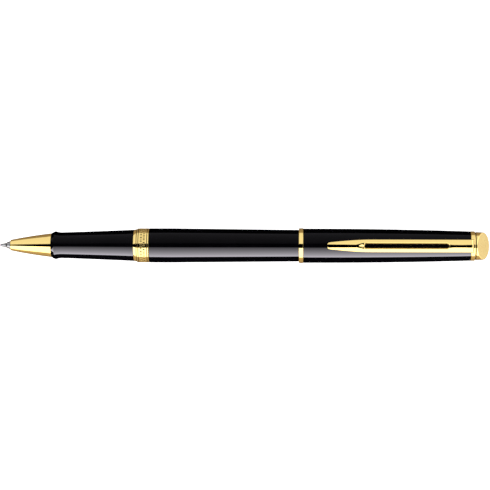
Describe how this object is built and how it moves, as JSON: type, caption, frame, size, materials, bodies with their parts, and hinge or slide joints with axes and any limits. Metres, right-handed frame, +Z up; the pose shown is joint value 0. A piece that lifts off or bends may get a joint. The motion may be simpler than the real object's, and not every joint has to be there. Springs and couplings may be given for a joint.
{
  "type": "rollerball pen",
  "caption": "Slim rollerball pen in black lacquer with gold trim, its cap posted on the barrel; slotted spring clip and slant-cut cap end.",
  "frame": {"origin": "centre of the bounding box at its lowest height, on the surface the pen lies on, with the clip up", "axes": "+X along the pen from the writing ball to the cap's end; +Z up through the clip; +Y across the pen"},
  "size_m": [0.15, 0.0106, 0.0125],
  "materials": {
    "black_lacquer": "gloss",
    "black_resin": "gloss",
    "gold_plate": "polished",
    "satin_gold": "satin",
    "bare_brass": "satin",
    "black_plug": "gloss",
    "black_liner": "matte",
    "steel_wire": "satin",
    "tip_steel": "polished",
    "ball_carbide": "polished",
    "refill_plastic": "satin",
    "feed_plastic": "matte",
    "ink_fibre": "matte"
  },
  "bodies": {
    "barrel": {"barrel_tube": "black_lacquer", "barrel_insert": "bare_brass", "tail_plug": "black_plug", "refill_spring": "steel_wire"},
    "refill": {"refill_tip": "tip_steel", "refill_tip_holder": "refill_plastic", "refill_feed": "feed_plastic", "refill_ink_core": "ink_fibre", "refill_tube": "tip_steel", "refill_end_plug": "refill_plastic"},
    "ball": {"writing_ball": "ball_carbide"},
    "section": {"grip_section": "black_resin", "section_core": "bare_brass", "trim_ring": "gold_plate", "center_band": "gold_plate", "nose_cone": "gold_plate"},
    "cap": {"cap_tube": "black_lacquer", "cap_lip_ring": "gold_plate", "inner_cap": "black_liner", "cap_end_bush": "bare_brass", "clip_ring": "gold_plate", "finial": "satin_gold", "finial_screw": "steel_wire", "lock_washer": "steel_wire"},
    "clip": {"clip": "gold_plate"}
  },
  "joints": [
    {"name": "cap_pull", "type": "slide", "parent": "barrel", "child": "cap", "axis": [1, 0, 0], "range_m": [0, 0.045]},
    {"name": "clip_flex", "type": "hinge", "parent": "cap", "child": "clip", "pos_m": [0.06932, 0, 0.00905], "axis": [0, 1, 0], "range_deg": [0, 4], "stiffness_Nm_per_rad": 2},
    {"name": "refill_advance", "type": "slide", "parent": "barrel", "child": "refill", "axis": [-1, 0, 0], "range_m": [0, 0.006], "deforming": ["refill_spring"]},
    {"name": "section_turn", "type": "hinge", "parent": "refill", "child": "section", "pos_m": [-0.025, 0, 0.00534], "axis": [-1, 0, 0], "range_deg": [0, 2160.1]},
    {"name": "ball_roll", "type": "hinge", "parent": "refill", "child": "ball", "pos_m": [-0.0747, 0, 0.00534], "axis": [0, 1, 0], "continuous": true}
  ],
  "couplings": [
    {"joint": "section_turn", "follows": "refill_advance", "rad_per_m": 6283.2}
  ]
}
